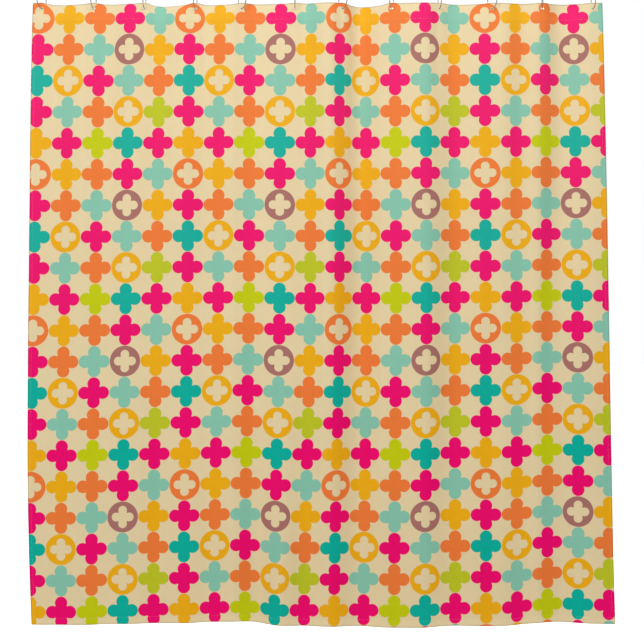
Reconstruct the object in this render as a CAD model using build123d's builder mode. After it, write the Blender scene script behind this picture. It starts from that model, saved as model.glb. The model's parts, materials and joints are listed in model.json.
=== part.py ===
from build123d import *
import os
from math import cos, pi, radians, sin

# A hung fabric shower curtain: rod axis on X at the origin, +Z up, the printed front faces -Y.

# ---- cloth, measured flat and as hung ----
FLAT_HEIGHT = 1880.0        # 74 in cut and hemmed height
HOOK_GAPS = (157.0, 154.0, 154.0, 142.0, 160.0, 145.0, 147.0, 146.0, 159.0, 152.0, 154.0)
FOLD_DEPTHS = (4.0, 5.0, 5.0, 7.0, 4.0, 8.0, 9.0, 7.0, 5.0, 8.0, 9.0)
EDGE_SAGS = (6.5, 4.5, 10.0, 6.5, 4.0, 2.0, 8.0, 1.5, 4.0, 2.0, 2.0)
FIRST_FOLD = 1              # the first fold goes back, and the next ones alternate
LAYER = 0.8                 # one layer of cloth
HINGE_GAP = 2.4             # from a fold line to the cloth on each side of it
FLAT_HALF = 16.0            # half the flat patch round each buttonhole
FACETS = 6                  # flat facets from the patch to the fold line
LEFT_EDGE = (-26.0, -38.0)  # free edge from the first hook, at the top and at the bottom
RIGHT_EDGE = (27.0, 67.0)   # free edge from the last hook, at the top and at the bottom

# ---- hems ----
TOP_HEM = 51.0
BOTTOM_HEM = 22.0
SIDE_HEM = 12.0

# ---- wire rings ----
WIRE = 2.6
RING_RADIUS = 26.0          # to the middle of the wire
ROD = 25.0                  # the rod that the rings are made for
GAP_MIDDLE = 40.0           # where the ring opens, in degrees above level, at the back
GAP_CLEAR = 3.0             # between the two ball tips
TIP = 4.2
RING_YAWS = (-24.0, -12.0, -5.0, -8.0, 28.0, 0.0, 28.0, -15.0, 8.0, 28.0, -10.0, 7.0)

# ---- buttonholes ----
HOLE = (10.0, 5.0)          # clear width and height inside the stitching
LINING = 1.2                # thread wrapped over the cut edge
BAND = 2.7                  # width of the stitched band seen on each face
BAND_RISE = 0.5             # how far the band stands off the cloth
CORNER = 1.0                # bevel at the corners
HANG_CLEAR = 0.4            # between the wire and the top of the buttonhole
EDGE_TO_WIRE = 17.0         # from the cloth's top edge down to the wire

# ---- what follows from them ----
HOOK_COUNT = len(HOOK_GAPS) + 1
HOOK_X = [sum(HOOK_GAPS[:k]) - sum(HOOK_GAPS) / 2 for k in range(HOOK_COUNT)]
RING_Z = ROD / 2 + WIRE / 2 - RING_RADIUS
WIRE_Z = RING_Z - RING_RADIUS
HOLE_Z = WIRE_Z + WIRE / 2 + HANG_CLEAR - HOLE[1] / 2
TOP_Z = WIRE_Z + EDGE_TO_WIRE
BOTTOM_Z = TOP_Z - FLAT_HEIGHT
TOP_HEM_Z = TOP_Z - TOP_HEM
FRONT, SEAM, BACK = -LAYER / 2, LAYER / 2, LAYER * 3 / 2
REACH = 200.0               # more than the cloth's depth, for trimming


def fold_side(gap):
    """-1 for a fold that comes forward, +1 for one that goes back."""
    return FIRST_FOLD * (-1) ** gap


def half_profile(gap, span):
    """Distance from a hook and depth of the cloth, from the hook to the fold line of that gap."""
    rise = span - FLAT_HALF
    steps = [FLAT_HALF + rise * i / FACETS for i in range(FACETS)] + [span - HINGE_GAP]
    depth = fold_side(gap) * FOLD_DEPTHS[gap]
    return [(d, depth * sin(pi / 2 * (d - FLAT_HALF) / rise) ** 2) for d in steps]


def middle_line(hook):
    """The middle of one panel's main layer, seen from above, from left to right."""
    if hook == 0:
        left = [(min(LEFT_EDGE), 0.0)]
    else:
        left = [(-d, y) for d, y in reversed(half_profile(hook - 1, HOOK_GAPS[hook - 1] / 2))]
    if hook == HOOK_COUNT - 1:
        right = [(max(RIGHT_EDGE), 0.0)]
    else:
        right = half_profile(hook, HOOK_GAPS[hook] / 2)
    return [(HOOK_X[hook] + d, y) for d, y in left + right]


def front_outline(hook, low, high):
    """One panel seen from the front between two heights, with the top edge sagging beside the hook."""
    x, ends = HOOK_X[hook], middle_line(hook)
    left, right = ends[0][0], ends[-1][0]
    left_low, left_high, right_low, right_high = left, left, right, right
    sag_left = EDGE_SAGS[hook - 1] if hook else 0.0
    sag_right = EDGE_SAGS[hook] if hook < HOOK_COUNT - 1 else 0.0
    if hook == 0:
        left_high, left_low = x + slanted(LEFT_EDGE, high), x + slanted(LEFT_EDGE, low)
    if hook == HOOK_COUNT - 1:
        right_high, right_low = x + slanted(RIGHT_EDGE, high), x + slanted(RIGHT_EDGE, low)
    if high < TOP_Z:
        top = [(left_high, high), (right_high, high)]
    else:
        patch = [(x - FLAT_HALF, high), (x + FLAT_HALF, high)]
        top = [(left_high, high - sag_left), *patch, (right_high, high - sag_right)]
    return [*top, (right_low, low), (left_low, low)]


def slanted(edge, z):
    """The offset of a free edge at height z."""
    return edge[0] + (edge[1] - edge[0]) * (TOP_Z - z) / FLAT_HEIGHT


def side_outline(hook, low, high):
    """The strip along a free edge that the side hem covers."""
    edge, inward = (LEFT_EDGE, SIDE_HEM) if hook == 0 else (RIGHT_EDGE, -SIDE_HEM)
    outer = [(HOOK_X[hook] + slanted(edge, z), z) for z in (low, high)]
    inner = [(x + inward, z) for x, z in reversed(outer)]
    return outer + inner


def bevelled(width, height, bevel):
    """The corners of a rectangle with bevelled corners, centred on the origin."""
    x, y = width / 2, height / 2
    quarter = [(x, y - bevel), (x - bevel, y)]
    corners = quarter + [(-a, b) for a, b in reversed(quarter)]
    return corners + [(-a, -b) for a, b in corners]


def hole_plane(hook, y):
    """A plane through a buttonhole's middle, facing the front."""
    return Plane(origin=(HOOK_X[hook], y, HOLE_Z), x_dir=(1, 0, 0), z_dir=(0, -1, 0))


def cloth_layer(hook, front, back, outline):
    """One layer of a panel, following its folds, cut to an outline seen from the front."""
    line = middle_line(hook)
    section = [(x, y + front) for x, y in line] + [(x, y + back) for x, y in reversed(line)]
    with BuildPart() as layer:
        with BuildSketch(Plane.XY.offset(BOTTOM_Z)):
            with BuildLine():
                Polyline(*section, close=True)
            make_face()
        extrude(amount=FLAT_HEIGHT)
        with BuildSketch(Plane.XZ):
            with BuildLine():
                Polyline(*outline, close=True)
            make_face()
        extrude(amount=REACH, both=True, mode=Mode.INTERSECT)
    return layer.part


def raw_buttonhole(hook):
    """What the buttonhole takes out of the cloth before it is stitched."""
    with BuildPart() as cutter:
        with BuildSketch(hole_plane(hook, 0)):
            with BuildLine():
                Polyline(*bevelled(HOLE[0] + 2 * LINING, HOLE[1] + 2 * LINING, CORNER), close=True)
            make_face()
        extrude(amount=LAYER * 3, both=True)
    return cutter.part


def build_panel(hook):
    """A panel of the cloth with its bottom hem, and its side hem at a free edge."""
    main = cloth_layer(hook, FRONT, SEAM, front_outline(hook, BOTTOM_Z, TOP_Z))
    low_hem = cloth_layer(hook, SEAM, BACK, front_outline(hook, BOTTOM_Z, BOTTOM_Z + BOTTOM_HEM))
    with BuildPart() as panel:
        add(main)
        add(low_hem)
        if hook in (0, HOOK_COUNT - 1):
            add(cloth_layer(hook, SEAM, BACK, side_outline(hook, BOTTOM_Z, TOP_HEM_Z)))
        add(raw_buttonhole(hook), mode=Mode.SUBTRACT)
    return panel.part


def build_top_hem(hook):
    """The turned-down layer behind the top edge, which the buttonhole also goes through."""
    turned = cloth_layer(hook, SEAM, BACK, front_outline(hook, TOP_HEM_Z, TOP_Z))
    with BuildPart() as hem:
        add(turned)
        add(raw_buttonhole(hook), mode=Mode.SUBTRACT)
    return hem.part


def build_stitching(hook):
    """The thread round a buttonhole: a band on each face, joined through the cut edge."""
    band = bevelled(HOLE[0] + 2 * BAND, HOLE[1] + 2 * BAND, CORNER)
    cut = bevelled(HOLE[0] + 2 * LINING, HOLE[1] + 2 * LINING, CORNER)
    levels = ((FRONT, FRONT - BAND_RISE, band), (BACK, FRONT, cut), (BACK + BAND_RISE, BACK, band))
    with BuildPart() as stitching:
        for start, stop, outline in levels:
            with BuildSketch(hole_plane(hook, start)):
                with BuildLine():
                    Polyline(*outline, close=True)
                make_face()
                with BuildLine():
                    Polyline(*bevelled(*HOLE, CORNER), close=True)
                make_face(mode=Mode.SUBTRACT)
            extrude(amount=start - stop)
    return stitching.part


def build_ring(hook):
    """One bent wire ring with a ball at each end, turned about the upright through its buttonhole."""
    yaw = radians(RING_YAWS[hook])
    face = Plane(origin=(HOOK_X[hook], 0, RING_Z), x_dir=(-sin(yaw), cos(yaw), 0),
                 z_dir=(cos(yaw), sin(yaw), 0))
    open_angle = (GAP_CLEAR + TIP) / RING_RADIUS * 180 / pi
    with BuildPart() as ring:
        with BuildLine(face) as path:
            CenterArc((0, 0), RING_RADIUS, GAP_MIDDLE + open_angle / 2, 360 - open_angle)
        with BuildSketch(Plane(origin=path.line @ 0, z_dir=path.line % 0)):
            Circle(WIRE / 2)
        sweep(path=path.line)
        with Locations(path.line @ 0, path.line @ 1):
            Sphere(TIP / 2)
    return ring.part


BUILDERS = (("cloth", build_panel), ("top_hem", build_top_hem),
            ("buttonhole_stitch", build_stitching), ("hook", build_ring))

os.makedirs("parts", exist_ok=True)
for name, builder in BUILDERS:
    for hook in range(HOOK_COUNT):
        part = builder(hook)
        part.label = f"{name}_{hook + 1:02d}"
        export_step(part, f"parts/{part.label}.step")
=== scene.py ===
"""The look of the shower curtain: a hung, printed cloth with hems, stitched buttonholes and wire rings."""

import json
import math

import bpy
import numpy as np
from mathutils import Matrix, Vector


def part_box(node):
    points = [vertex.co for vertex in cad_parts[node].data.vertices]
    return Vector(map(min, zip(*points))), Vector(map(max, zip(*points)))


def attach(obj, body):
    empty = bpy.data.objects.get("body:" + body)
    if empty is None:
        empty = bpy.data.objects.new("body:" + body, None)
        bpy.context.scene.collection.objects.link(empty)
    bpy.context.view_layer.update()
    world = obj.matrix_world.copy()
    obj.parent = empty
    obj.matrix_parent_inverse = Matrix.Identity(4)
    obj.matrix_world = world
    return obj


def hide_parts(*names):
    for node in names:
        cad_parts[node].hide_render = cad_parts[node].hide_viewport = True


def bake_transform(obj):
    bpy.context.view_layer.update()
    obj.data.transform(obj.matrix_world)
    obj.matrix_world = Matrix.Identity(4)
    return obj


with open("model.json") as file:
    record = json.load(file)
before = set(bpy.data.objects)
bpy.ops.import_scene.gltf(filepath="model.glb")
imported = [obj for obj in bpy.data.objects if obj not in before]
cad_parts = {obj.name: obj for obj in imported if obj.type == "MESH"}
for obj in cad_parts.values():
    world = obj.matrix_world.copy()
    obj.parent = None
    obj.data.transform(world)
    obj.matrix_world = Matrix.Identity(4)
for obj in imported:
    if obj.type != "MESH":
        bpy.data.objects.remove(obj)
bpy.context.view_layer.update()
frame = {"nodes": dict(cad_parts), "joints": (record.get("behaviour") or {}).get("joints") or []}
JOINTS = {j["name"]: j for j in frame["joints"]}

# ---------------------------------------------------------------- the cloth, in metres
FLAT_W, FLAT_H = 1.803, 1.880
HOOKS, FIXED_RING = 12, 2
HOOK_X = [JOINTS["draw_curtain" if k == FIXED_RING else f"ring_turn_{k:02d}"]["pos_m"][0]
          for k in range(1, HOOKS + 1)]
GAPS = [b - a for a, b in zip(HOOK_X, HOOK_X[1:])]
HOLE_Z = JOINTS["draw_curtain"]["pos_m"][2]
TOP_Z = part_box("top_hem_01")[1].z
HOLE_V = TOP_Z - HOLE_Z - 0.0007     # the opening's upper edge rests on the wire
THICK = 0.0005            # half a millimetre reads as cloth and still closes as a shell
TOP_HEM, BOTTOM_HEM, SIDE_HEM, HEM_LAYER = 0.051, 0.022, 0.012, 0.0006
SLICE_PAST_HOOK = 0.013   # where the cloth is divided for posing, beyond each ring
SEAM_INSET = 0.002        # hem stitches run this far inside the edge of the turned cloth
HEM_STEP = 0.0003         # half the width in which the turned cloth's edge steps down
rng = np.random.default_rng(7)

# Between each two rings: where the cloth turns, as a share of the gap, and how far back it lies there in mm,
# at the top, half way down and at the hem.
FOLDS = [
    [(0.24, 4.0, 3.5, 3.0), (0.78, -4.0, -4.0, -3.5)],
    [(0.25, 4.0, 4.0, 3.0), (0.78, -4.5, -4.5, -4.0)],
    [(0.25, 5.0, 4.5, 4.0), (0.76, -4.5, -4.0, -3.5)],
    [(0.26, 4.0, 5.0, 4.5), (0.78, -4.5, -5.0, -6.0)],
    [(0.28, 3.0, 4.5, 9.0), (0.74, -2.0, -4.0, -11.0)],
    [(0.22, 2.0, 3.0, 5.0), (0.73, -10.0, -14.0, -11.0)],
    [(0.35, 19.0, 21.5, 15.0), (0.80, 3.0, 3.0, 0.0)],
    [(0.30, -4.0, -4.5, -1.0), (0.74, -10.0, -12.0, -8.0)],
    [(0.26, 8.0, 10.5, 7.0), (0.72, 1.0, 1.0, -2.0)],
    [(0.24, -3.0, -2.5, -2.0), (0.70, 3.0, 2.0, 3.0), (0.92, -2.0, -2.5, -2.5)],
    [(0.37, 13.0, 10.5, 8.0), (0.80, 2.0, 2.5, 0.5)],
]
EDGE_DEPTH = (3.0, 4.0)   # mm, at the left and right edges
EDGE_ROLL = 0.024         # the drooping edge also rolls back, over about this depth
ROLL_BACK = 0.6           # how far it goes back for each step down
HOOK_FLAT, HOOK_REACH = 0.6, 0.018    # how much a ring flattens the cloth beside it, and how far
CALM_REACH = 0.022        # the random unevenness dies out this near to a ring
HOOK_DEPTH = 0.25         # and both of these fade over about this depth below the top edge
SAG_POWER, SAG_CORNER = 2.6, 0.014    # the shape of the droop, and its rounding beside each ring
HEM_POWER = 1.6           # how late the hem's rise and fall sets in, going down
# How far the top edge droops between each two rings.
SAGS = [0.0065, 0.0045, 0.0100, 0.0065, 0.0038, 0.0018, 0.0080, 0.0015, 0.0040, 0.0020, 0.0020]
# How far the hem hangs below level, in mm, along the width in metres.
HEM_LINE = [(-0.87, 2), (-0.78, 3), (-0.62, 0), (-0.50, -2), (-0.34, -5), (-0.25, -8), (-0.19, -5),
            (-0.15, 0), (-0.08, 5), (0.02, 7), (0.12, 8), (0.22, 11), (0.29, 11), (0.36, 8), (0.43, 6),
            (0.59, 4), (0.69, -5), (0.74, -5), (0.80, -2), (0.90, 1)]
X_FROM, X_TO = -0.895, 0.905          # the folds are worked out between these, a little past the cloth
SAMPLES = np.linspace(X_FROM, X_TO, 3601)


def left_edge(v):
    """X of the left edge at a depth v below the top edge."""
    s = v / FLAT_H
    return -0.861 - 0.009 * (1 - np.exp(-s / 0.12)) - 0.0085 * np.sin(np.pi * s ** 2.2) + 0.004 * s ** 6


def right_edge(v):
    """X of the right edge at a depth v below the top edge."""
    s = v / FLAT_H
    return 0.862 + 0.0355 * s ** 0.8 + 0.005 * s ** 6


def smooth_curve(xs, ys, at):
    """A natural cubic spline through the points."""
    xs, ys = np.array(xs), np.array(ys)
    n, h, d = len(xs), np.diff(xs), np.diff(ys) / np.diff(xs)
    a, r = np.eye(n), np.zeros(n)
    for i in range(1, n - 1):
        a[i, i - 1:i + 2] = h[i - 1], 2 * (h[i - 1] + h[i]), h[i]
        r[i] = 6 * (d[i] - d[i - 1])
    m = np.linalg.solve(a, r)
    i = np.clip(np.searchsorted(xs, at) - 1, 0, n - 2)
    t, hi = at - xs[i], h[i]
    return (ys[i] + t * (d[i] - hi * (2 * m[i] + m[i + 1]) / 6) + t ** 2 * m[i] / 2
            + t ** 3 * (m[i + 1] - m[i]) / (6 * hi))


def fold_line(level):
    """The cloth's depth seen from above: at the top (0), half way down (1) or at the hem (2)."""
    xs, ys = [X_FROM, HOOK_X[0]], [EDGE_DEPTH[0], 0.0]
    for k, turns in enumerate(FOLDS):
        xs += [HOOK_X[k] + turn[0] * GAPS[k] for turn in turns] + [HOOK_X[k + 1]]
        ys += [turn[1 + level] for turn in turns] + [0.0]
    return smooth_curve(xs + [X_TO], [y / 1000 for y in ys + [EDGE_DEPTH[1]]], SAMPLES)


def ripples(count, across, down, size):
    """Soft random unevenness: a sum of long waves."""
    return [(rng.uniform(*across), rng.uniform(*down), rng.uniform(0, 2 * math.pi),
             size * rng.uniform(0.5, 1)) for _ in range(count)]


SOFT = ripples(9, (14, 46), (1.0, 4.5), 0.0007)
ROWS = np.concatenate([np.arange(0, 0.06, 0.004), np.arange(0.06, FLAT_H, 0.012), [FLAT_H]])
DEPTHS = [fold_line(level) for level in range(3)]
NEAR_HOOK = np.min([np.abs(SAMPLES - x) for x in HOOK_X], axis=0)
U_STEPS = np.linspace(0, FLAT_W, 1804)
HOLE_LEVEL = 4            # the one of ROWS that is nearest to the buttonholes


def depth_row(v, scale):
    """Depth of the cloth along one level, with folds of a given strength."""
    s = v / FLAT_H
    shares = (1 - s) * (1 - 2 * s), 4 * s * (1 - s), s * (2 * s - 1)
    wander = sum(a * np.sin(kx * SAMPLES + kz * v + ph) for kx, kz, ph, a in SOFT)
    near_top = math.exp(-v / HOOK_DEPTH)
    calm = 1 - np.exp(-(NEAR_HOOK / CALM_REACH) ** 2) * near_top
    held = 1 - HOOK_FLAT * np.exp(-(NEAR_HOOK / HOOK_REACH) ** 2) * near_top
    return scale * sum(w * depth for w, depth in zip(shares, DEPTHS)) * held + wander * calm


def edge_sag(x, v):
    """How far the cloth droops between two rings; a hand's breadth down it hangs straight again."""
    sag = np.zeros_like(x)
    for k, depth in enumerate(SAGS):
        t = np.clip((x - HOOK_X[k]) / GAPS[k], 0, 1)
        near = np.minimum(t, 1 - t) * GAPS[k] / SAG_CORNER
        sag += depth * (1 - np.abs(2 * t - 1) ** SAG_POWER) * (1 - np.exp(-near ** 2))
    return sag * np.exp(-v / EDGE_ROLL)


def cloth_row(v):
    """X, depth and flat distance along one level; the folds take up just the cloth there is."""
    x = np.linspace(left_edge(v), right_edge(v), 3600)
    droop = edge_sag(x, v)
    low, high = 0.1, 3.0      # the strength of the folds is somewhere in between, and is found by halving
    for _ in range(30):
        mid = (low + high) / 2
        y = np.interp(x, SAMPLES, depth_row(v, mid)) + ROLL_BACK * droop
        steps = np.sqrt(np.diff(x) ** 2 + np.diff(y) ** 2 + np.diff(droop) ** 2)
        u = np.concatenate([[0], np.cumsum(steps)])
        low, high = (mid, high) if u[-1] < FLAT_W else (low, mid)
    return x, y, u * FLAT_W / u[-1]


def build_table():
    """X and depth of the cloth at every flat step of every level."""
    xs, ys = [], []
    for v in ROWS:
        x, y, u = cloth_row(v)
        xs.append(np.interp(U_STEPS, u, x))
        ys.append(np.interp(U_STEPS, u, y))
    return np.array(xs), np.array(ys)


TABLE_X, TABLE_Y = build_table()
HOOK_U = [float(np.interp(x, TABLE_X[HOLE_LEVEL], U_STEPS)) for x in HOOK_X]


def hem_drop(x, v):
    """How far the cloth hangs below level, growing towards the hem."""
    return smooth_curve(*zip(*HEM_LINE), x) / 1000 * (v / FLAT_H) ** HEM_POWER


def surface(u, v):
    """Points of the cloth's middle surface, one for each u and v."""
    u, v = np.asarray(u, float), np.asarray(v, float)
    j = np.clip(np.searchsorted(ROWS, v, side="right") - 1, 0, len(ROWS) - 2)
    t = (v - ROWS[j]) / (ROWS[j + 1] - ROWS[j])
    f = np.clip(u / FLAT_W, 0, 1) * (len(U_STEPS) - 1)
    i = np.clip(f.astype(int), 0, len(U_STEPS) - 2)
    f = f - i
    at = lambda table: ((1 - t) * ((1 - f) * table[j, i] + f * table[j, i + 1])
                        + t * ((1 - f) * table[j + 1, i] + f * table[j + 1, i + 1]))
    x, y = at(TABLE_X), at(TABLE_Y)
    return np.stack([x, y, TOP_Z - v - edge_sag(x, v) - hem_drop(x, v)], axis=-1)


def front_normal(u, v):
    """Unit normals towards the front."""
    across, down = 0.0015, 0.006      # how far either side the slope is taken
    du = surface(np.clip(u + across, 0, FLAT_W), v) - surface(np.clip(u - across, 0, FLAT_W), v)
    dv = surface(u, np.clip(v + down, 0, FLAT_H)) - surface(u, np.clip(v - down, 0, FLAT_H))
    n = np.cross(dv, du)
    n /= np.linalg.norm(n, axis=-1, keepdims=True)
    return n * np.where(n[..., 1:2] > 0, -1, 1)


def hem_depth(u, v):
    """Extra thickness behind the cloth where it is turned over."""
    turned = (v < TOP_HEM) | (v > FLAT_H - BOTTOM_HEM) | (u < SIDE_HEM) | (u > FLAT_W - SIDE_HEM)
    return np.where(turned, HEM_LAYER, 0.0)


# ---------------------------------------------------------------- materials
def nodes_of(name):
    """A new material, its node tree and its shader."""
    mat = bpy.data.materials.new(name)
    mat.use_nodes = True
    tree = mat.node_tree
    return mat, tree, tree.nodes["Principled BSDF"]


class Maths:
    """Short names for math nodes in one tree."""

    def __init__(self, tree):
        self.tree = tree

    def __call__(self, op, *values, clamp=False):
        node = self.tree.nodes.new("ShaderNodeMath")
        node.operation, node.use_clamp = op, clamp
        for slot, value in zip(node.inputs, values):
            if isinstance(value, (int, float)):
                slot.default_value = value
            else:
                self.tree.links.new(value, slot)
        return node.outputs[0]

    def mix(self, factor, a, b, blend="MIX"):
        node = self.tree.nodes.new("ShaderNodeMix")
        node.data_type, node.blend_type = "RGBA", blend
        for key, value in (("Factor", factor), ("A", a), ("B", b)):
            slot = node.inputs[key]
            if isinstance(value, (tuple, float, int)):
                slot.default_value = value
            else:
                self.tree.links.new(value, slot)
        return node.outputs["Result"]


def noise_in(tree, vector, scale, detail, rough=0.5):
    """A noise texture's value over the given coordinates."""
    node = tree.nodes.new("ShaderNodeTexNoise")
    for key, value in (("Scale", scale), ("Detail", detail), ("Roughness", rough)):
        node.inputs[key].default_value = value
    tree.links.new(vector, node.inputs["Vector"])
    return node.outputs["Fac"]


def object_noise(tree, scale, detail):
    coords = tree.nodes.new("ShaderNodeTexCoord")
    return noise_in(tree, coords.outputs["Object"], scale, detail)


def roughen(tree, shader, height, strength, distance):
    """A bump on the shader's normal."""
    bump = tree.nodes.new("ShaderNodeBump")
    bump.inputs["Strength"].default_value = strength
    bump.inputs["Distance"].default_value = distance
    tree.links.new(height, bump.inputs["Height"])
    tree.links.new(bump.outputs[0], shader.inputs["Normal"])


def srgb(r, g, b):
    """Linear colour from 0..255 display values."""
    f = lambda c: c / 12.92 if c <= 0.04045 else ((c + 0.055) / 1.055) ** 2.4
    return (f(r / 255), f(g / 255), f(b / 255), 1.0)


REPEAT, ROW_REPEAT = 0.094, 0.0945         # the print's spacing across and down, in metres
PRINT_LEFT, PRINT_TOP = 0.0208, 0.0470     # the middle of its first motif, from the left and top edges
PRINT_LEAN, PRINT_TILT = 0.024, 0.0030     # it lies a little askew on the cut cloth, more so low down
PRINT_WANDER = 0.0015                      # and the side hem was not turned quite straight
ROW_SPREAD = 0.00095                       # its rows come a little closer together towards the right
PRINT_WEAR = 0.03                          # the cloth shows a little between the threads
PAINTED_TOP_SHEEN, TOP_SHEEN_DEPTH = 0.029, 1.28       # and the inks are painted a little paler towards the top: a painted sheen of the light from above
CREAM = srgb(225, 206, 163)
INKS = {"orange": srgb(232, 120, 55), "yellow": srgb(232, 169, 19), "pink": srgb(233, 3, 107),
        "sea": srgb(131, 192, 169), "teal": srgb(3, 170, 153), "mauve": srgb(164, 109, 103),
        "olive": srgb(184, 191, 37), "lime": srgb(191, 198, 12)}
# One repeat of the print, five by five; a capital R marks a ring with a cut-out.
PATTERN = ["R orange", "yellow", "orange", "pink", "sea",
           "pink", "orange", "sea", "R mauve", "yellow",
           "teal", "R yellow", "pink", "sea", "orange",
           "pink", "sea", "orange", "R yellow", "olive",
           "yellow", "pink", "lime", "teal", "pink"]
# In repeats: a motif's and a cut-out's lobe middle, lobe radius and half arm width, and the ring's radius.
MOTIF, CUT_OUT, RING_RADIUS = (0.2925, 0.2035, 0.188), (0.216, 0.142, 0.134), 0.494
WEAVE_PITCH = 0.0005                       # warp and weft
EDGE_SHADE_WIDTH, PAINTED_EDGE_SHADE = 0.0045, 0.42      # painted shade: a darker line along every edge of the cloth, where it turns away from the light


def clover(m, a, b, centre, radius, half):
    """Signed distance to a four-lobed cross; a and b are the larger and smaller distance from its middle."""
    lobe_x = m("SUBTRACT", a, centre)
    reach = m("SQRT", m("ADD", m("MULTIPLY", lobe_x, lobe_x), m("MULTIPLY", b, b)))
    lobe = m("SUBTRACT", reach, radius)
    arm = m("MAXIMUM", m("SUBTRACT", b, half), m("SUBTRACT", a, centre))
    return m("MINIMUM", lobe, arm)


def inside(m, distance, edge=0.006):
    """1 within a shape, 0 outside, with a soft printed edge."""
    return m("DIVIDE", m("SUBTRACT", edge, distance), 2 * edge, clamp=True)


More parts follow.
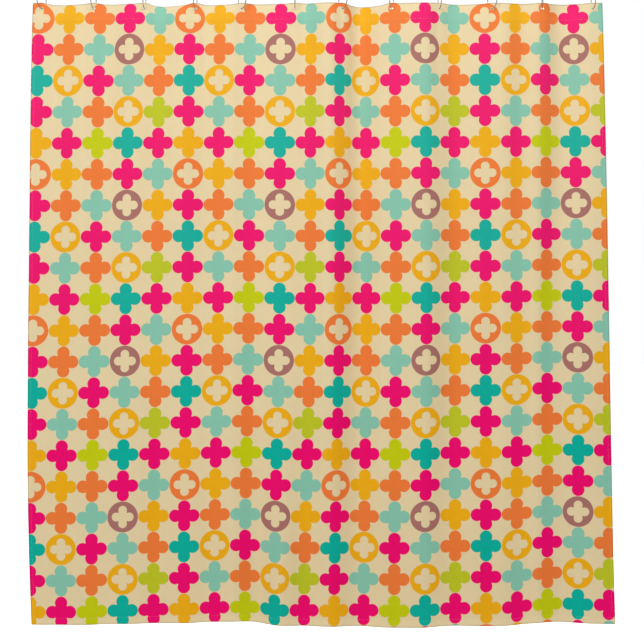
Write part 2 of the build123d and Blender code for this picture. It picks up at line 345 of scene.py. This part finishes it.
def cloth_material(name, show_through):
    """Woven cloth whose print shows at the given strength, all placed by the flat coordinates."""
    mat, tree, shader = nodes_of(name)
    m = Maths(tree)
    uv = tree.nodes.new("ShaderNodeUVMap")
    uv.uv_map = "Flat"
    split = tree.nodes.new("ShaderNodeSeparateXYZ")
    tree.links.new(uv.outputs[0], split.inputs[0])
    u, v = split.outputs[0], m("SUBTRACT", FLAT_H, split.outputs[1])
    lean = m("MULTIPLY", m("MULTIPLY", v, v), PRINT_LEAN / FLAT_H ** 2)
    wander = m("MULTIPLY", m("SINE", m("MULTIPLY", v, 2 * math.pi / FLAT_H)), PRINT_WANDER)
    lean = m("ADD", lean, wander)
    cu = m("ADD", m("DIVIDE", m("ADD", m("SUBTRACT", u, PRINT_LEFT), lean), REPEAT), 0.5)
    pitch = m("SUBTRACT", ROW_REPEAT, m("MULTIPLY", u, ROW_SPREAD / FLAT_W))
    first = m("SUBTRACT", PRINT_TOP, m("MULTIPLY", u, PRINT_TILT / FLAT_W))
    cv = m("ADD", m("DIVIDE", m("SUBTRACT", v, first), pitch), 0.5)
    fx, fy = (m("ABSOLUTE", m("SUBTRACT", m("FRACT", c), 0.5)) for c in (cu, cv))
    a, b = m("MAXIMUM", fx, fy), m("MINIMUM", fx, fy)
    column, row = (m("FLOORED_MODULO", m("FLOOR", c), 5) for c in (cu, cv))
    index = m("DIVIDE", m("ADD", m("ADD", m("MULTIPLY", row, 5), column), 0.5), len(PATTERN))
    ramp = tree.nodes.new("ShaderNodeValToRGB")
    ramp.color_ramp.interpolation = "CONSTANT"
    stops = ramp.color_ramp.elements
    while len(stops) < len(PATTERN):
        stops.new(0.5)
    # the alpha says which motifs are rings
    for i, word in enumerate(PATTERN):
        stops[i].position = i / len(PATTERN)
        stops[i].color = (*INKS[word.split()[-1]][:3], 1.0 if word.startswith("R") else 0.0)
    tree.links.new(index, ramp.inputs[0])
    radius = m("SQRT", m("ADD", m("MULTIPLY", fx, fx), m("MULTIPLY", fy, fy)))
    solid = inside(m, clover(m, a, b, *MOTIF))
    hole = inside(m, clover(m, a, b, *CUT_OUT))
    ring = m("SUBTRACT", inside(m, m("SUBTRACT", radius, RING_RADIUS)), hole, clamp=True)
    is_ring = ramp.outputs["Alpha"]
    ink = m("ADD", m("MULTIPLY", solid, m("SUBTRACT", 1, is_ring)), m("MULTIPLY", ring, is_ring))

    coords = tree.nodes.new("ShaderNodeCombineXYZ")
    tree.links.new(u, coords.inputs[0])
    tree.links.new(v, coords.inputs[1])

    # warp and weft, over and under each other
    turn = 2 * math.pi / WEAVE_PITCH
    warp, weft = m("SINE", m("MULTIPLY", u, turn)), m("SINE", m("MULTIPLY", v, turn))
    weave = m("MULTIPLY", warp, weft)
    fibre, patch, creases = (noise_in(tree, coords.outputs[0], *how)
                             for how in ((900, 3), (5, 2), (22, 4, 0.55)))
    hem_v = m("MAXIMUM", m("LESS_THAN", v, TOP_HEM), m("GREATER_THAN", v, FLAT_H - BOTTOM_HEM))
    hem_u = m("MAXIMUM", m("LESS_THAN", u, SIDE_HEM), m("GREATER_THAN", u, FLAT_W - SIDE_HEM))
    hem = m("MAXIMUM", hem_v, hem_u)

    worn = m("MULTIPLY", m("ABSOLUTE", m("SUBTRACT", fibre, 0.5)), PRINT_WEAR)
    # painted sheen: the print is mixed towards the cream, more so near the top edge, as if lit from above
    painted_sheen = m("MULTIPLY", m("SUBTRACT", 1, m("DIVIDE", v, TOP_SHEEN_DEPTH), clamp=True), PAINTED_TOP_SHEEN)
    ink = m("MULTIPLY", ink, m("SUBTRACT", show_through, m("ADD", worn, painted_sheen)))
    colour = m.mix(ink, CREAM, ramp.outputs["Color"])
    shade = m("ADD", 0.955, m("MULTIPLY", patch, 0.05))
    shade = m("ADD", shade, m("MULTIPLY", weave, 0.018))
    shade = m("ADD", shade, m("MULTIPLY", hem, 0.03))
    # painted shade: the colour darkens within a few millimetres of every edge of the cloth
    edge_v = m("MINIMUM", v, m("SUBTRACT", FLAT_H, v))
    edge_u = m("MINIMUM", u, m("SUBTRACT", FLAT_W, u))
    turned = m("SUBTRACT", 1, m("DIVIDE", m("MINIMUM", edge_u, edge_v), EDGE_SHADE_WIDTH), clamp=True)
    shade = m("SUBTRACT", shade, m("MULTIPLY", turned, PAINTED_EDGE_SHADE))
    grey = tree.nodes.new("ShaderNodeCombineXYZ")
    for slot in grey.inputs:
        tree.links.new(shade, slot)
    colour = m.mix(1.0, colour, grey.outputs[0], "MULTIPLY")
    tree.links.new(colour, shader.inputs["Base Color"])

    # weave, soft creases and the dimpled line beside each row of hem stitches
    seam_v = m("MINIMUM", m("ABSOLUTE", m("SUBTRACT", v, TOP_HEM - SEAM_INSET)),
               m("ABSOLUTE", m("SUBTRACT", v, FLAT_H - BOTTOM_HEM + SEAM_INSET)))
    seam_u = m("MINIMUM", m("ABSOLUTE", m("SUBTRACT", u, SIDE_HEM - SEAM_INSET)),
               m("ABSOLUTE", m("SUBTRACT", u, FLAT_W - SIDE_HEM + SEAM_INSET)))
    seam = m("MINIMUM", seam_v, seam_u)
    dimple = m("MULTIPLY", m("SUBTRACT", 1, m("DIVIDE", seam, SEAM_INSET, clamp=True)), -0.5)
    height = m("ADD", m("MULTIPLY", weave, 0.10), m("MULTIPLY", fibre, 0.10))
    height = m("ADD", height, dimple)
    height = m("ADD", height, m("MULTIPLY", creases, 0.9))
    roughen(tree, shader, height, 0.35, 0.0011)
    rough = m("ADD", 0.60, m("MULTIPLY", fibre, 0.16))
    tree.links.new(rough, shader.inputs["Roughness"])
    shader.inputs["Specular IOR Level"].default_value = 0.05
    shader.inputs["Sheen Weight"].default_value = 0.02
    shader.inputs["Sheen Roughness"].default_value = 0.45
    shader.inputs["Sheen Tint"].default_value = (1.0, 0.97, 0.92, 1.0)
    return mat


def thread_material():
    mat, tree, shader = nodes_of("sewing_thread")
    twist = object_noise(tree, 1500, 2)
    colour = Maths(tree).mix(twist, srgb(206, 188, 150), srgb(236, 222, 190))
    tree.links.new(colour, shader.inputs["Base Color"])
    roughen(tree, shader, twist, 0.4, 0.0002)
    shader.inputs["Roughness"].default_value = 0.55
    shader.inputs["Sheen Weight"].default_value = 0.3
    return mat


def wire_material():
    mat, tree, shader = nodes_of("ring_wire")
    m, wear = Maths(tree), object_noise(tree, 260, 3)
    colour = m.mix(wear, (0.22, 0.22, 0.23, 1), (0.36, 0.36, 0.37, 1))
    tree.links.new(colour, shader.inputs["Base Color"])
    tree.links.new(m("ADD", 0.18, m("MULTIPLY", wear, 0.16)), shader.inputs["Roughness"])
    roughen(tree, shader, wear, 0.08, 0.0001)
    shader.inputs["Metallic"].default_value = 1.0
    return mat


PRINTED, REVERSE = cloth_material("printed_front", 1.0), cloth_material("printed_back", 0.42)
THREAD, WIRE = thread_material(), wire_material()

# ---------------------------------------------------------------- the cloth's mesh
BLOCK = (0.010, 0.008)    # half size of the patch of mesh round a buttonhole
HOLE_HALF = (0.0043, 0.0018)          # half size of its opening
HOLE_POWER = 0.55                     # how square the opening's ends are: 1 is an ellipse
CELLS = 6                             # mesh squares along each side of the patch
COLUMN, HEM_COLUMN = 0.0055, 0.004    # the mesh's steps across the cloth
TOP_ROW, HEM_ROW, ROW, LOW_ROW = 0.0035, 0.005, 0.010, 0.0055     # and down it


def spread(a, b, step):
    """Even steps from a up to, but not including, b."""
    n = max(1, round((b - a) / step))
    return list(a + (b - a) * np.arange(n) / n)


def v_lines():
    """The mesh's rows, with a close pair wherever the turned cloth ends."""
    top, low = TOP_HEM, FLAT_H - BOTTOM_HEM
    lines = spread(0, HOLE_V - BLOCK[1], TOP_ROW)
    lines += spread(HOLE_V - BLOCK[1], HOLE_V + BLOCK[1], 2 * BLOCK[1] / CELLS)
    lines += spread(HOLE_V + BLOCK[1], top - HEM_STEP, HEM_ROW) + [top - HEM_STEP]
    lines += spread(top + HEM_STEP, low - HEM_STEP, ROW) + [low - HEM_STEP]
    lines += spread(low + HEM_STEP, FLAT_H, LOW_ROW) + [FLAT_H]
    return np.array(lines)


V_LINES = v_lines()


def border(s):
    """Flat distance of the border after slice s, along every mesh row."""
    if s == 0:
        return np.zeros(len(V_LINES))
    if s == HOOKS - 1:
        return np.full(len(V_LINES), FLAT_W)
    plane, out = HOOK_X[s] + SLICE_PAST_HOOK, []
    for v in V_LINES:
        x = surface(U_STEPS, np.full(len(U_STEPS), v))[:, 0]
        out.append(np.interp(plane, x, U_STEPS))
    return np.array(out)


BORDERS = [border(s) for s in range(HOOKS)]
HOLE_ROW = int(np.argmin(np.abs(V_LINES - HOLE_V)))


def slice_fractions(s):
    """Mesh lines across slice s as shares of its width, and the first line of each buttonhole patch."""
    a, b = BORDERS[s - 1][HOLE_ROW], BORDERS[s][HOLE_ROW]
    lines, patches, at = [], [], a
    if s == 1:
        lines += spread(0, SIDE_HEM - HEM_STEP, HEM_COLUMN) + [SIDE_HEM - HEM_STEP]
        at = SIDE_HEM + HEM_STEP
    for k in ([0, 1] if s == 1 else [s]):
        lines += spread(at, HOOK_U[k] - BLOCK[0], COLUMN)
        patches.append((k, len(lines)))
        lines += spread(HOOK_U[k] - BLOCK[0], HOOK_U[k] + BLOCK[0], 2 * BLOCK[0] / CELLS)
        at = HOOK_U[k] + BLOCK[0]
    if s == HOOKS - 1:
        lines += spread(at, b - SIDE_HEM - HEM_STEP, COLUMN) + [b - SIDE_HEM - HEM_STEP]
        at = b - SIDE_HEM + HEM_STEP
    lines += spread(at, b, COLUMN) + [b]
    return (np.array(lines) - a) / (b - a), patches


def patch_mesh(k, corners):
    """Vertices (u, v) and faces that fill the patch round buttonhole k, inside the given outer vertices."""
    count = len(corners)
    inner, middle = [], []
    for u, v in corners:
        angle = math.atan2((v - HOLE_V) / BLOCK[1], (u - HOOK_U[k]) / BLOCK[0])
        c, s = math.cos(angle), math.sin(angle)
        hole = (HOOK_U[k] + HOLE_HALF[0] * math.copysign(abs(c) ** HOLE_POWER, c),
                HOLE_V + HOLE_HALF[1] * math.copysign(abs(s) ** HOLE_POWER, s))
        inner.append(hole)
        middle.append(((u + hole[0]) / 2, (v + hole[1]) / 2))
    faces = []
    for i in range(count):
        j = (i + 1) % count
        faces.append((i, j, count + j, count + i))
        faces.append((count + i, count + j, 2 * count + j, 2 * count + i))
    return middle + inner, faces


def slice_mesh(s):
    """Flat vertices (u, v) and faces of slice s."""
    fractions, patches = slice_fractions(s)
    left, right = BORDERS[s - 1][:, None], BORDERS[s][:, None]
    grid_u = left + fractions[None, :] * (right - left)
    rows, columns = grid_u.shape
    grid_v = np.broadcast_to(V_LINES[:, None], grid_u.shape)
    uv = np.stack([grid_u, grid_v], axis=-1).reshape(-1, 2).tolist()
    name = lambda j, i: j * columns + i
    top = int(np.argmin(np.abs(V_LINES - (HOLE_V - BLOCK[1]))))
    in_patch = {(top + dj, i0 + di) for _, i0 in patches for dj in range(CELLS) for di in range(CELLS)}
    faces = [(name(j, i), name(j + 1, i), name(j + 1, i + 1), name(j, i + 1))
             for j in range(rows - 1) for i in range(columns - 1) if (j, i) not in in_patch]
    for k, i0 in patches:
        ring = ([name(top, i0 + d) for d in range(CELLS)]
                + [name(top + d, i0 + CELLS) for d in range(CELLS)]
                + [name(top + CELLS, i0 + CELLS - d) for d in range(CELLS)]
                + [name(top + CELLS - d, i0) for d in range(CELLS)])
        extra, found = patch_mesh(k, [uv[n] for n in ring])
        known = ring + [len(uv) + n for n in range(len(extra))]
        uv += extra
        faces += [tuple(known[n] for n in reversed(f)) for f in found]
    used = sorted({n for f in faces for n in f})
    again = {n: i for i, n in enumerate(used)}
    return np.array([uv[n] for n in used]), [tuple(again[n] for n in f) for f in faces]


def closed_shell(name, uv, faces):
    """A mesh with the cloth's front, back and cut edges, and its flat coordinates as the UV map Flat."""
    u, v = uv[:, 0], uv[:, 1]
    middle, normal = surface(u, v), front_normal(u, v)
    front = middle + normal * THICK / 2
    back = middle - normal * (THICK / 2 + hem_depth(u, v))[:, None]
    n = len(uv)
    edges = [(a, b) for f in faces for a, b in zip(f, f[1:] + f[:1])]
    shared = set(edges)
    rim = [(a, b) for a, b in edges if (b, a) not in shared]
    behind = [tuple(n + i for i in reversed(f)) for f in faces]
    mesh = bpy.data.meshes.new(name)
    mesh.from_pydata(np.concatenate([front, back]).tolist(), [],
                     faces + behind + [(b, a, n + a, n + b) for a, b in rim])
    mesh.update()
    # the winding is checked against the front normal, so that faces look outwards
    if Vector(mesh.polygons[0].normal).dot(Vector(normal[faces[0][0]])) < 0:
        mesh.flip_normals()
    count = len(mesh.polygons)
    kinds = np.ones(count, np.int32)      # the back and the cut edges have the second material
    kinds[:len(faces)] = 0
    mesh.materials.append(PRINTED)
    mesh.materials.append(REVERSE)
    mesh.polygons.foreach_set("material_index", kinds)
    mesh.polygons.foreach_set("use_smooth", np.ones(count, bool))
    loops = np.zeros(len(mesh.loops), np.int32)
    mesh.loops.foreach_get("vertex_index", loops)
    layer = mesh.uv_layers.new(name="Flat")
    flat = np.stack([u, FLAT_H - v], axis=-1)
    layer.data.foreach_set("uv", flat[loops % n].astype(np.float32).ravel())
    # smooth across the front and across the back, flat on the cut edges
    totals = np.zeros(count, np.int32)
    mesh.polygons.foreach_get("loop_total", totals)
    face_normals = np.zeros(count * 3, np.float32)
    mesh.polygons.foreach_get("normal", face_normals)
    face_of = np.repeat(np.arange(count), totals)
    is_front, is_back = face_of < len(faces), (face_of >= len(faces)) & (face_of < 2 * len(faces))
    out = face_normals.reshape(-1, 3)[face_of]
    out[is_front] = normal[loops[is_front] % n]
    out[is_back] = -normal[loops[is_back] % n]
    mesh.normals_split_custom_set(out.tolist())
    return mesh


def link(name, data):
    """A new object in the scene."""
    obj = bpy.data.objects.new(name, data)
    bpy.context.scene.collection.objects.link(obj)
    return obj


def bend(obj):
    """Bakes the object's placement into its mesh."""
    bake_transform(obj)


for s in range(1, HOOKS):
    uv, faces = slice_mesh(s)
    cloth = link(f"curtain_cloth_{s:02d}", closed_shell(f"curtain_cloth_{s:02d}", uv, faces))
    bend(cloth)
    stood_for = [s] if s < HOOKS - 1 else [s, s + 1]
    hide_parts(*[f"{kind}_{k:02d}" for kind in ("cloth", "top_hem") for k in stood_for])

# ---------------------------------------------------------------- thread
ASKEW = np.array([0.31, -0.72, 0.62])     # a direction that no thread takes


def tubes(paths, radius, sides):
    """Vertices and faces of thin closed tubes along short lines of points."""
    verts, faces = [], []
    for path in paths:
        path = np.asarray(path)
        tangent = np.gradient(path, axis=0)
        tangent /= np.linalg.norm(tangent, axis=1, keepdims=True)
        side = np.cross(tangent, ASKEW)
        side /= np.linalg.norm(side, axis=1, keepdims=True)
        other = np.cross(tangent, side)
        start, rings = len(verts), len(path)
        for i in range(rings):
            for a in np.arange(sides) * 2 * math.pi / sides:
                verts.append(path[i] + radius * (math.cos(a) * side[i] + math.sin(a) * other[i]))
        for i in range(rings - 1):
            for j in range(sides):
                a, b = start + i * sides + j, start + i * sides + (j + 1) % sides
                faces.append((a, b, b + sides, a + sides))
        faces.append(tuple(start + j for j in reversed(range(sides))))
        faces.append(tuple(start + (rings - 1) * sides + j for j in range(sides)))
    return verts, faces


def thread_object(name, paths, radius, sides=5):
    """One object of thread along all the given paths."""
    verts, faces = tubes(paths, radius, sides)
    mesh = bpy.data.meshes.new(name)
    mesh.from_pydata([tuple(p) for p in verts], [], faces)
    mesh.polygons.foreach_set("use_smooth", np.ones(len(faces), bool))
    mesh.materials.append(THREAD)
    mesh.update()
    obj = link(name, mesh)
    return obj


STITCH, STITCH_PITCH, THREAD_R = 0.0026, 0.0033, 0.00008
DIP, STAND = -0.0002, 0.0001          # a stitch goes into the cloth at its ends and stands out between them


def stitch_rows():
    """Each hem stitch as its flat start and direction."""
    top, low = TOP_HEM - SEAM_INSET, FLAT_H - BOTTOM_HEM + SEAM_INSET
    for u in np.arange(0.004, FLAT_W - 0.006, STITCH_PITCH):
        yield u, top, 1, 0
        yield u, low, 1, 0
    for v in np.arange(TOP_HEM + 0.003, FLAT_H - BOTTOM_HEM - 0.006, STITCH_PITCH):
        yield SIDE_HEM - SEAM_INSET, v, 0, 1
        yield FLAT_W - SIDE_HEM + SEAM_INSET, v, 0, 1


def hem_stitches():
    """Every hem stitch as four points, and the slice that it belongs to."""
    flat = np.array([[[u + du * STITCH * t, v + dv * STITCH * t] for t in (0, 0.25, 0.75, 1)]
                     for u, v, du, dv in stitch_rows()])
    u, v = flat[..., 0].ravel(), flat[..., 1].ravel()
    lift = np.array([DIP, STAND, STAND, DIP]) + THICK / 2
    points = surface(u, v) + front_normal(u, v) * np.tile(lift, len(flat))[:, None]
    points = points.reshape(len(flat), 4, 3)
    middle = points[:, 1:3, 0].mean(axis=1)
    planes = [HOOK_X[s] + SLICE_PAST_HOOK for s in range(1, HOOKS - 1)]
    return points, np.searchsorted(planes, middle) + 1


stitches, owner = hem_stitches()
for s in range(1, HOOKS):
    hem = thread_object(f"hem_stitches_{s:02d}", stitches[owner == s], THREAD_R)
    bend(hem)


def hole_outline(count):
    """Points evenly spaced round a buttonhole's opening, from its middle, with their outward directions."""
    angle = np.linspace(0, 2 * math.pi, 721)
    c, s = np.cos(angle), np.sin(angle)
    x, y = (half * np.sign(w) * np.abs(w) ** HOLE_POWER for half, w in zip(HOLE_HALF, (c, s)))
    arc = np.concatenate([[0], np.cumsum(np.hypot(np.diff(x), np.diff(y)))])
    at = np.arange(count) * arc[-1] / count
    points = np.stack([np.interp(at, arc, x), np.interp(at, arc, y)], axis=-1)
    along = np.roll(points, -1, axis=0) - np.roll(points, 1, axis=0)
    out = np.stack([along[:, 1], -along[:, 0]], axis=-1)
    return points, out / np.linalg.norm(out, axis=1, keepdims=True)


HOLE_STITCHES, HOLE_THREAD_R = 76, 0.00027
STITCH_REACH = (0.0016, 0.0019)       # the shortest and the longest, out from the opening


def buttonhole_threads(k):
    """Close stitches wrapped over the edge of buttonhole k, front to back."""
    paths = []
    for edge, way in zip(*hole_outline(HOLE_STITCHES)):
        reach = rng.uniform(*STITCH_REACH)
        # outwards along the front, in through the opening, and out again along the back
        outs = np.array([reach, reach * 0.85, reach * 0.4, 0.0, -0.0001, -0.00012, -0.0001, 0.0,
                         reach * 0.4, reach * 0.85, reach])
        front = THICK / 2 + np.array([DIP, STAND, 0.00024, 0.0002])
        back = -HEM_LAYER - front[::-1]
        lift = np.concatenate([front, [0.0001, -HEM_LAYER / 2, -HEM_LAYER - 0.0001], back])
        u, v = HOOK_U[k] + edge[0] + way[0] * outs, HOLE_V + edge[1] + way[1] * outs
        paths.append(surface(u, v) + front_normal(u, v) * lift[:, None])
    return paths


for k in range(HOOKS):
    hole = thread_object(f"buttonhole_thread_{k + 1:02d}", buttonhole_threads(k), HOLE_THREAD_R, 6)
    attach(hole, f"fold_{k + 1:02d}")
    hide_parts(f"buttonhole_stitch_{k + 1:02d}")

# ---------------------------------------------------------------- the rings
for k in range(1, HOOKS + 1):
    ring = frame["nodes"][f"hook_{k:02d}"]
    ring.data.materials.clear()
    ring.data.materials.append(WIRE)
    ring.data.shade_smooth()

# ---------------------------------------------------------------- stage, light, camera
ROOM_LIGHT, FLOOR_GLOW = 0.42, 0.8
FLOOR_SIZE, FLOOR_BACK, FLOOR_BELOW = 60, 10, 0.10    # its middle is this far back, and below the cloth
CAMERA_BACK, VIEW_WIDTH, SENSOR = 6.0, 1.949, 36      # what the camera sees at the cloth is this wide
world = bpy.data.worlds.new("studio")
bpy.context.scene.world = world
world.use_nodes = True
sky, path = world.node_tree.nodes["Background"], world.node_tree.nodes.new("ShaderNodeLightPath")
sky.inputs["Color"].default_value = (1, 1, 1, 1)
# the backdrop is white behind the object and gives a softer light than it looks
level = Maths(world.node_tree)("ADD", ROOM_LIGHT, path.outputs["Is Camera Ray"], clamp=True)
world.node_tree.links.new(level, sky.inputs["Strength"])


def plane(name, size, location, colour):
    """A level square that glows for the camera only."""
    mesh = bpy.data.meshes.new(name)
    h = size / 2
    mesh.from_pydata([(-h, -h, 0), (h, -h, 0), (h, h, 0), (-h, h, 0)], [], [(0, 1, 2, 3)])
    obj = link(name, mesh)
    obj.location = location
    mat, tree, shader = nodes_of(name)
    shader.inputs["Base Color"].default_value = colour
    shader.inputs["Roughness"].default_value = 0.9
    shader.inputs["Specular IOR Level"].default_value = 0.0
    shader.inputs["Emission Color"].default_value = colour
    seen = tree.nodes.new("ShaderNodeLightPath").outputs["Is Camera Ray"]
    tree.links.new(Maths(tree)("MULTIPLY", seen, FLOOR_GLOW), shader.inputs["Emission Strength"])
    mesh.materials.append(mat)


plane("floor", FLOOR_SIZE, (0, FLOOR_BACK, TOP_Z - FLAT_H - FLOOR_BELOW), (0.93, 0.93, 0.93, 1))


def area(name, location, target, size, power):
    """A white rectangular lamp aimed at the target."""
    light = bpy.data.lights.new(name, "AREA")
    light.shape, light.size, light.size_y = "RECTANGLE", size[0], size[1]
    light.energy = power
    obj = link(name, light)
    obj.location = location
    obj.rotation_euler = (Vector(target) - Vector(location)).to_track_quat("-Z", "Y").to_euler()


area("key", (-1.9, -3.8, 1.4), (0, 0, -0.75), (1.2, 1.2), 78)
area("top", (0.5, -1.9, 1.6), (0, 0, -0.3), (2.4, 0.8), 35)
area("back_fill", (2.2, 3.6, 1.2), (0, 0, -0.8), (1.6, 1.6), 95)

camera = bpy.data.cameras.new("camera")
camera.sensor_width = SENSOR
camera.lens = SENSOR * CAMERA_BACK / VIEW_WIDTH
camera_obj = link("camera", camera)
camera_obj.location = (0.0136, -CAMERA_BACK, -0.987)
camera_obj.rotation_euler = (math.radians(90), 0, 0)
bpy.context.scene.camera = camera_obj
bpy.context.scene.view_settings.view_transform = "Standard"
